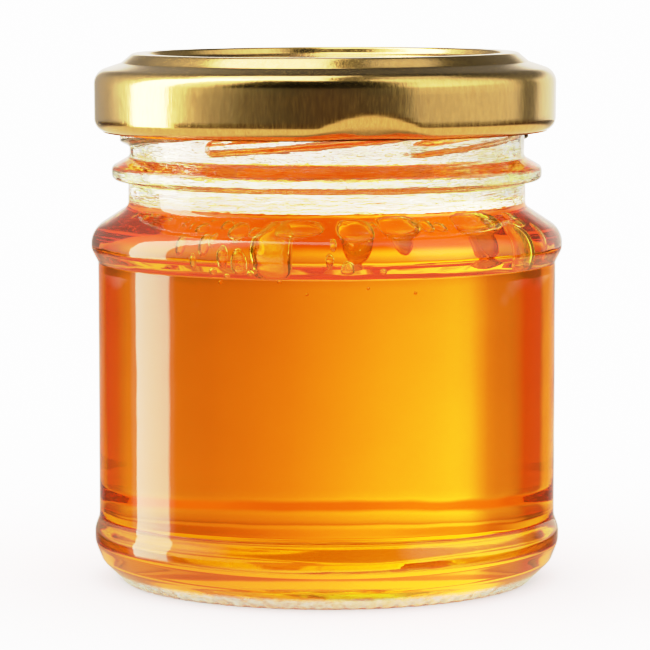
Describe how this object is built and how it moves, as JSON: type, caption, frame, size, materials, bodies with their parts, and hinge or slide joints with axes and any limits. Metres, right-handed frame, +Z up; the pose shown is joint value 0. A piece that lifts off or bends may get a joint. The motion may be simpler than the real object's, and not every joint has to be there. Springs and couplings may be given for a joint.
{
  "type": "honey jar",
  "caption": "Small round clear glass jar filled with honey to the base of its neck, closed with a gold twist-off metal lid.",
  "frame": {"origin": "centre of the base, on the surface the jar stands on", "axes": "+Z up along the jar's axis; -Y towards the front, where one lug of the lid shows a little to the right"},
  "size_m": [0.067, 0.067, 0.0749],
  "materials": {
    "clear_glass": "clear moulded glass, glossy, faintly uneven",
    "honey": "clear amber liquid",
    "gold_lacquer": "gold lacquer over brushed tinplate, satin"
  },
  "bodies": {
    "root": {"jar": "clear_glass", "honey": "honey", "lid": "gold_lacquer"}
  },
  "joints": []
}
